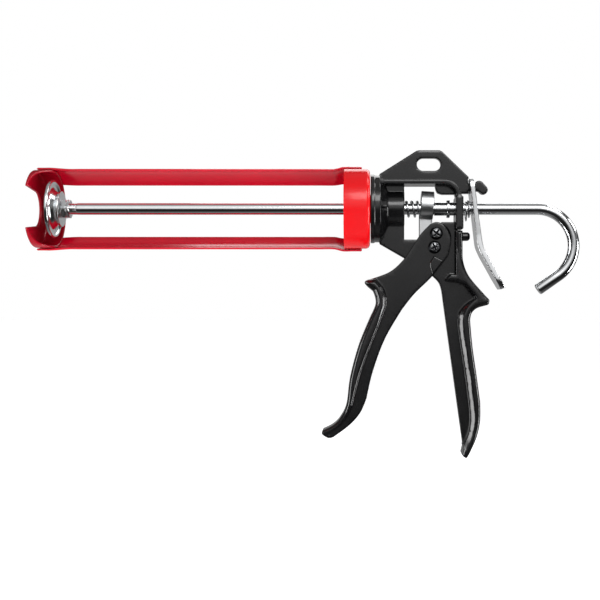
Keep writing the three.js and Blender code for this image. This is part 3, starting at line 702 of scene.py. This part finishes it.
def rodNut(name, start, end, look, bodyName, stands, flat=6.1, bore=4.2, turn=math.pi / 2):
    grid = makeGrid((start, -flat * 1.17, -flat * 1.17), (end, flat * 1.17, flat * 1.17),
                    nut["rodPitch"] * fine)
    x, y, z = grid["x"], grid["y"], grid["z"]
    radius = np.sqrt(y ** 2 + z ** 2)
    middle, half = (start + end) / 2, (end - start) / 2
    field = meeting(hexField(y, z, flat, turn), np.abs(x - middle) - half, 0.15)
    cone = (radius - flat * 1.155 + (np.abs(x - middle) - half + 0.75) * 1.7) * 0.5
    field = meeting(field, cone, 0.15)
    points, faces = skinOf(np.maximum(field, bore - radius), grid)
    addPiece(name, points, faces, look, bodyName, stands, sharp=30)


rodNut("plunger_front_hex", -215.6, -211.5, pressedPlate, "rod", ["plunger_front_nut"])
rodNut("plunger_rear_hex", -207.8, -204.2, pressedPlate, "rod", ["plunger_rear_nut"])
rodNut("plunger_lock_hex", -203.9, -202.2, pressedPlate, "rod", ["plunger_lock_nut"])
rodNut("barrel_lock_hex", -6.6, -3.6, pressedPlate, "body", ["barrel_lock_nut"], flat=12.1, bore=9.7, turn=0.0)
print("screws and nuts made")

# Cradle

cradle = {"ringRadius": 26.8, "ringRear": -0.4, "ringLength": 17.5, "ringBore": 9.8, "ringFloor": 2.0,
          "sheet": 1.5, "cupFront": -226.9, "cupRadius": 26.2, "cupWallFar": 14.5, "cupFloor": 2.0,
          "cupPitch": 0.33, "railRadius": 27.2, "railSpan": 47, "railEdge": 0.35}


def pressedRing():
    c = cradle
    front, rear = c["ringRear"] - c["ringLength"], c["ringRear"]
    outside, inside, bore = c["ringRadius"], c["ringRadius"] - c["sheet"], c["ringBore"]
    step = rear - c["ringFloor"]
    profile = softened([(front, inside, 0.4), (front, outside, 0.6), (rear, outside, 3.0), (rear, bore, 0.3),
                        (step, bore, 0.3), (step, 14.2, 0.3), (step - 0.4, 14.7, 0.3),
                        (step - 0.4, inside, 1.6)], 8)
    return turnedMesh(profile, 192)


points, faces = pressedRing()
addPiece("pressed_ring", points, faces, ringPaint, "cradle", ["rear_ring"])


def pressedCup():
    c = cradle
    front, wallEnd = c["cupFront"], c["cupFront"] + c["cupWallFar"]
    outside, inside, floor = c["cupRadius"], c["cupRadius"] - c["sheet"], front + c["cupFloor"]
    grid = makeGrid((front, -26.3, -26.3), (wallEnd, 26.3, 26.3), c["cupPitch"] * fine)
    x, y, z = grid["x"], grid["y"], grid["z"]
    profile = softened([(front, -1, 0), (front, outside, 1.6), (wallEnd, outside, 0.35), (wallEnd, inside, 0.35),
                        (floor, inside, 1.0), (floor, -1, 0)])
    field = turnedField(grid, profile)
    rim = [(floor, -40), (floor, -20)] + smoothRun([
        (floor, -20), (front + 3.5, -15), (front + 6.4, -9), (front + 13, 0.5), (wallEnd - 0.4, 8),
        (wallEnd, 14)], 8) + [(wallEnd + 5, 14), (wallEnd + 5, -40)]
    field = without(field, outlineField(x, y, rim), 0.5)
    notch = [(-40, 15.4), (-40, -15.4), (-0.5, -11.6)] + [
        (-0.5 + 11 * math.sin(a), -11.6 * math.cos(a)) for a in np.linspace(0, math.pi, 40)] + [(-0.5, 11.6)]
    field = without(field, outlineField(y, z, notch), 0.5)
    return skinOf(field, grid, 0.01)


points, faces = pressedCup()
addPiece("pressed_cup", points, faces, cupPaintDarkenedForShade, "cradle", ["front_cup"], sharp=0)
print("cup:", len(faces), "faces")


def railMesh(side):
    c = cradle
    sheet, edge = c["sheet"], c["railEdge"]
    cupOutside, ringOutside = c["cupRadius"] + 1.8, c["ringRadius"] + 1.8
    frontTab, rearTab = c["cupFront"] + 1.6, c["ringRear"] - c["ringLength"]
    outer = smoothRun([(frontTab, cupOutside), (frontTab + 5, cupOutside), (frontTab + 9.9, cupOutside),
                       (frontTab + 21.1, c["railRadius"]), (frontTab + 28, c["railRadius"])], 6)
    outer += smoothRun([(rearTab - 16, c["railRadius"]), (rearTab - 7, c["railRadius"]),
                        (rearTab - 0.8, ringOutside), (rearTab + 6, ringOutside),
                        (c["ringRear"] - 5.5, ringOutside)], 6)
    inner = [(x, r - sheet) for x, r in outer]
    for run, shift in ((outer, -edge), (inner, edge)):
        for i in (0, -1):
            run[i] = (run[i][0], run[i][1] + shift)
    section = outer + inner[::-1]
    count = len(section)
    steps = 30
    points = []
    faces = []
    for k, angle in enumerate(np.linspace(0, math.radians(c["railSpan"]), steps)):
        pull = edge if k in (0, steps - 1) else 0.0
        for i, (x, r) in enumerate(section):
            r = r - pull if i < len(outer) else r + pull
            points.append((x, r * math.sin(angle), side * r * math.cos(angle)))
        if k:
            back, here = (k - 1) * count, k * count
            faces += [(back + i, back + (i + 1) % count, here + (i + 1) % count, here + i) for i in range(count)]
    for base, flip in ((0, False), ((steps - 1) * count, True)):
        for i in range(len(outer) - 1):
            quad = (base + i, base + i + 1, base + count - 2 - i, base + count - 1 - i)
            faces.append(quad[::-1] if flip else quad)
    return facedOut(points, faces)


for side, name in ((1, "upper_rail"), (-1, "lower_rail")):
    points, faces = railMesh(side)
    piece = addPiece("pressed_" + name, points, faces, redPaint, "cradle", [name])
    bevel = piece.modifiers.new("edges", "BEVEL")
    bevel.width = 0.0003
    bevel.segments = 2
    bevel.limit_method = "ANGLE"
    bevel.angle_limit = math.radians(40)
print("cradle made")

# Plunger and rod

# The pressed disc from its rolled rim, over a shallow moat and up a smooth dome to the flat under the washer.
def plungerProfile():
    rim = [(-215.1, 12.6), (-215.1, 19.3), (-214.9, 19.6), (-214.5, 19.7)]
    rim += [(-214.0 + 1.1 * math.sin(a), 18.6 + 1.1 * math.cos(a)) for a in np.linspace(0.1, 1.5, 10)]
    moat = [(-213.9 + 1.0 * (0.5 + 0.5 * math.cos(math.pi * t)), 18.4 - 2.4 * t) for t in np.linspace(0, 1, 14)]
    dome = [(-213.9 + 4.1 * (0.5 - 0.5 * math.cos(math.pi * t)), 14.6 - 5.2 * t) for t in np.linspace(0, 1, 26)]
    inside = [(-209.8, 4.2), (-211.0, 4.2), (-211.0, 7.7), (-211.6, 9.6), (-213.4, 11.8)]
    return rim + moat + dome + inside


points, faces = turnedMesh(plungerProfile(), 192)
addPiece("pressed_plunger", points, faces, pressedPlate, "plunger", ["plunger_disc"])
points, faces = washerMesh((-209.5, -208.1), 4.2, 12, 0.1, 0.35, 128)
addPiece("plunger_backing_washer", points, faces, pressedPlate, "plunger", ["plunger_washer"])

rod = {"radius": 3.9, "start": -216.4, "hookStart": 112.3, "hookRadius": 24.7, "sweep": 145, "tail": 17,
       "threadEnd": -197.5, "threadPitch": 1.25}


def rodMesh():
    r = rod
    path = []
    radii = []
    end = r["threadEnd"]
    steps = int((end - r["start"]) / r["threadPitch"] * 6)
    for k in range(steps + 1):
        path.append((r["start"] + (end - r["start"]) * k / steps, 0, 0))
        radii.append(r["radius"] - (0.28 if k % 6 in (2, 3) else 0.1 if k % 6 in (1, 4) else 0.0))
    radii[0] = r["radius"] - 0.6
    path += [(x, 0, 0) for x in (end + 0.6, -150, -90, -30, 30, 90, r["hookStart"])]
    radii += [r["radius"]] * 7
    sweep = math.radians(r["sweep"])
    for k in range(1, 61):
        a = sweep * k / 60
        path.append((r["hookStart"] + r["hookRadius"] * math.sin(a), 0, r["hookRadius"] * (math.cos(a) - 1)))
        radii.append(r["radius"])
    x, _, z = path[-1]
    dx, dz = math.cos(sweep), -math.sin(sweep)
    for short, radius in ((1.1, 3.9), (0.5, 3.75), (0.15, 3.35), (0, 2.8)):
        along = r["tail"] - short
        path.append((x + dx * along, 0, z + dz * along))
        radii.append(radius)
    return sweptMesh(path, lambda k: radii[k], 56)


points, faces = rodMesh()
addPiece("drawn_rod", points, faces, rodPlate, "rod", ["push_rod"], sharp=40)
print("rod made")

# Drive: sleeve, block, springs, lever

points, faces = washerMesh((42.9, 63.2), 4.05, 4.55, 0, 0.2, 96)
addPiece("sleeve_tube", points, faces, pressedPlate, "body", ["rear_bushing"])
points, faces = washerMesh((51.2, 53.2), 4.65, 6.1, 0.1, 0.4, 96)
addPiece("sleeve_clip_ring", points, faces, pressedPlate, "body", ["bushing_clip"])
points, faces = washerMesh((63.9, 64.7), 5.5, 6.8, 0.1, 0.2, 96, -1.5)
addPiece("release_washer_ring", points, faces, pressedPlate, "body", ["release_washer"])

points, faces = washerMesh((-3.2, -2.8), 9.7, 13, 0.1, 0.15, 144)
points[:, 0] += 0.08 * np.sin(3 * np.arctan2(points[:, 2], points[:, 1]))
addPiece("wave_washer_ring", points, faces, springWire, "body", ["barrel_wave_washer"])

dog = {"tilt": math.radians(3.5), "centre": (38, 2.4), "half": 4.3, "radius": 9.5, "pitch": 0.26}


def driveBlock():
    d = dog
    grid = makeGrid((31.5, -9.6, -19.6), (43.6, 9.6, 12.2), d["pitch"] * fine)
    x, y, z = grid["x"], grid["y"], grid["z"]
    u = (x - d["centre"][0]) * math.cos(d["tilt"]) - (z - d["centre"][1]) * math.sin(d["tilt"])
    v = (z - d["centre"][1]) * math.cos(d["tilt"]) + (x - d["centre"][0]) * math.sin(d["tilt"])
    disc = meeting(np.sqrt(y ** 2 + v ** 2) - d["radius"], np.abs(u) - d["half"], 0.45)
    leg = boxField(grid, (32.6, 41.4), (-2.9, 2.9), (-19.4, -3), 0.5)
    field = joined(disc, leg, 0.6)
    return skinOf(np.maximum(field, rod["radius"] + 0.5 - np.sqrt(y ** 2 + z ** 2)), grid, 0.01)


points, faces = driveBlock()
addPiece("drive_dog", points, faces, machinedPlate, "driver", ["driver_block"], sharp=0)


def springMesh(start, end, outside, wire, turns, phase=0.0):
    radius = outside - wire / 2
    path = []
    count = int(turns * 40)
    for k in range(count + 1):
        t = k / count
        eased = t - math.sin(2 * math.pi * t) / (2 * math.pi) * 0.35
        angle = phase + 2 * math.pi * turns * t
        path.append((start + wire / 2 + (end - start - wire) * eased, radius * math.cos(angle),
                     radius * math.sin(angle)))
    return sweptMesh(path, lambda k: wire / 2 * (0.8 if k in (0, count) else 1), 16)


points, faces = springMesh(22.9, 32.9, 5.9, 1.4, 2.6)
driveSpring = addPiece("drive_spring_coil", points, faces, springWire, "body",
                       ["drive_spring"], 50)
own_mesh(driveSpring)
points, faces = springMesh(65.0, 67.2, 6.1, 1.0, 1.2)
releaseSpring = addPiece("release_spring_coil", points, faces, springWire, "body",
                         ["release_spring"], 50)
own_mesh(releaseSpring)

thumb = {"thickness": 3.0, "halfTop": 11.0, "halfFoot": 12.6, "pitch": 0.3}
half = thumb["thickness"] / 2
leverOutline = outlineOf((67.3 - half, 19.6), [
    ("line", [(67.3 + half, 19.6), (72.4 + half, -19)]), ("curve", [(73.6 + half, -25.6), (76.4 + half, -31.6)]),
    ("line", [(88.2 + half, -53.2), (88.2 - half, -54.4), (76.2 - half - 0.4, -32.4)]),
    ("curve", [(73 - half, -26), (72 - half, -20)])])


def thumbLever():
    t = thumb
    grid = makeGrid((65, -12.7, -55), (90.5, 12.7, 20), t["pitch"] * fine)
    x, y, z = grid["x"], grid["y"], grid["z"]
    width = t["halfTop"] + (t["halfFoot"] - t["halfTop"]) * np.clip((-18 - z) / 36, 0, 1)
    corner = np.clip((z - 14) / 6, 0, 1) ** 2 * 2.2 + np.clip((-47 - z) / 7.4, 0, 1) ** 2 * 3.0
    field = meeting(outlineField(x, z, leverOutline), np.abs(y) - width + corner, 0.5)
    slot = boxField(grid, (60, 76), (-3.6, 3.6), (10.4, 17.8), 0.8)
    field = without(field, slot, 0.3)
    hole = rod["radius"] + 0.9 - np.sqrt(y ** 2 + z ** 2)
    return skinOf(without(field, -hole, 0.3), grid, 0.01)


points, faces = thumbLever()
addPiece("thumb_lever", points, faces, pressedPlate, "release", ["release_lever"], sharp=0)
print("drive made")


# Floor, world and lamps

def studioFloor():
    material, tree, _ = newMaterial("pale studio floor")
    finishMaterial(tree, {"Base Color": linearColour("#f4f4f4"), "Roughness": 0.9,
                          "Emission Color": (1, 1, 1, 1), "Emission Strength": 0.75})
    low = -0.32
    size = 12
    mesh = bpy.data.meshes.new("floor")
    mesh.from_pydata([(-size, -size, low), (size, -size, low), (size, size, low), (-size, size, low)], [],
                     [(0, 1, 2, 3)])
    floor = bpy.data.objects.new("floor", mesh)
    floor.data.materials.append(material)
    floor.visible_glossy = False
    bpy.context.collection.objects.link(floor)


studioFloor()

# The room seen in the metal, by height above the horizon, from behind and below round to behind and above: a
# grey wall, a table that darkens towards the front, a bright softbox above the camera, a dimmer ceiling, then a
# dark strip high behind and the wall again. It all fades towards the two sides.
room = [(-180, 0.5), (-150, 0.5), (-120, 0.4), (-95, 0.22), (-66, 0.2), (-54, 0.02), (-14, 0.02), (-6, 0.1),
        (0, 0.45), (6, 1.05), (12, 1.3), (50, 1.3), (62, 0.5), (112, 0.4), (126, 0.08), (148, 0.08), (166, 0.5),
        (180, 0.5)]


def studioWorld():
    world = bpy.data.worlds.new("studio")
    world.use_nodes = True
    bpy.context.scene.world = world
    sky = world.node_tree
    sky.nodes.clear()
    heading = addNode(sky, "ShaderNodeTexCoord").outputs["Generated"]
    parts = addNode(sky, "ShaderNodeSeparateXYZ", {"Vector": heading})
    forward = addNode(sky, "ShaderNodeMath", {0: parts.outputs["Y"], 1: -1.0}, operation="MULTIPLY")
    height = addNode(sky, "ShaderNodeMath", {0: parts.outputs["Z"], 1: forward.outputs["Value"]},
                     operation="ARCTAN2")
    spot = addNode(sky, "ShaderNodeMapRange", {"Value": height.outputs["Value"], "From Min": -math.pi,
                                               "From Max": math.pi})
    band = addNode(sky, "ShaderNodeFloatCurve", {"Value": spot.outputs["Result"], "Factor": 1.0})
    curve = band.mapping.curves[0]
    brightest = max(level for _, level in room)
    for angle, level in room[1:-1]:
        point = curve.points.new((angle + 180) / 360, level / brightest)
        point.handle_type = "VECTOR"
    curve.points[0].location = (0, room[0][1] / brightest)
    curve.points[len(curve.points) - 1].location = (1, room[-1][1] / brightest)
    band.mapping.update()
    level = addNode(sky, "ShaderNodeMath", {0: band.outputs["Value"], 1: brightest}, operation="MULTIPLY")
    aside = addNode(sky, "ShaderNodeMath", {0: parts.outputs["X"]}, operation="ABSOLUTE")
    fade = addNode(sky, "ShaderNodeMapRange", {"Value": aside.outputs["Value"], "From Min": 0.3, "From Max": 0.7,
                                               "To Min": 1.0, "To Max": 0.12})
    shaded = addNode(sky, "ShaderNodeMath", {0: level.outputs["Value"], 1: fade.outputs["Result"]},
                     operation="MULTIPLY")
    lit = addNode(sky, "ShaderNodeBackground", {"Strength": shaded.outputs["Value"]})
    white = addNode(sky, "ShaderNodeBackground", {"Color": (1, 1, 1, 1), "Strength": 1.0})
    direct = addNode(sky, "ShaderNodeLightPath")
    both = addNode(sky, "ShaderNodeMixShader", {0: direct.outputs["Is Camera Ray"], 1: lit.outputs["Background"],
                                                2: white.outputs["Background"]})
    addNode(sky, "ShaderNodeOutputWorld", {"Surface": both.outputs["Shader"]})


studioWorld()


def softbox(name, place, aim, size, watts):
    lamp = bpy.data.lights.new(name, "AREA")
    lamp.shape = "RECTANGLE"
    lamp.size, lamp.size_y = size
    lamp.energy = watts
    holder = bpy.data.objects.new(name, lamp)
    holder.location = place
    holder.rotation_euler = (Vector(aim) - Vector(place)).to_track_quat("-Z", "Y").to_euler()
    bpy.context.collection.objects.link(holder)


centre = (-0.04, 0, -0.05)
softbox("key", (0.3, -0.85, 0.6), centre, (0.9, 0.4), 6)
softbox("right high", (0.9, 0.06, 0.4), centre, (0.26, 0.26), 2.5)
softbox("right top", (0.6, 0.15, 0.8), centre, (0.3, 0.3), 2)
softbox("right strip", (0.9, -0.1, -0.25), centre, (0.16, 0.6), 4.5)
softbox("left strip", (-0.9, -0.14, -0.2), centre, (0.22, 0.8), 5)
softbox("back", (0.1, 0.9, 0.6), centre, (0.9, 0.5), 3)
print("studio made")
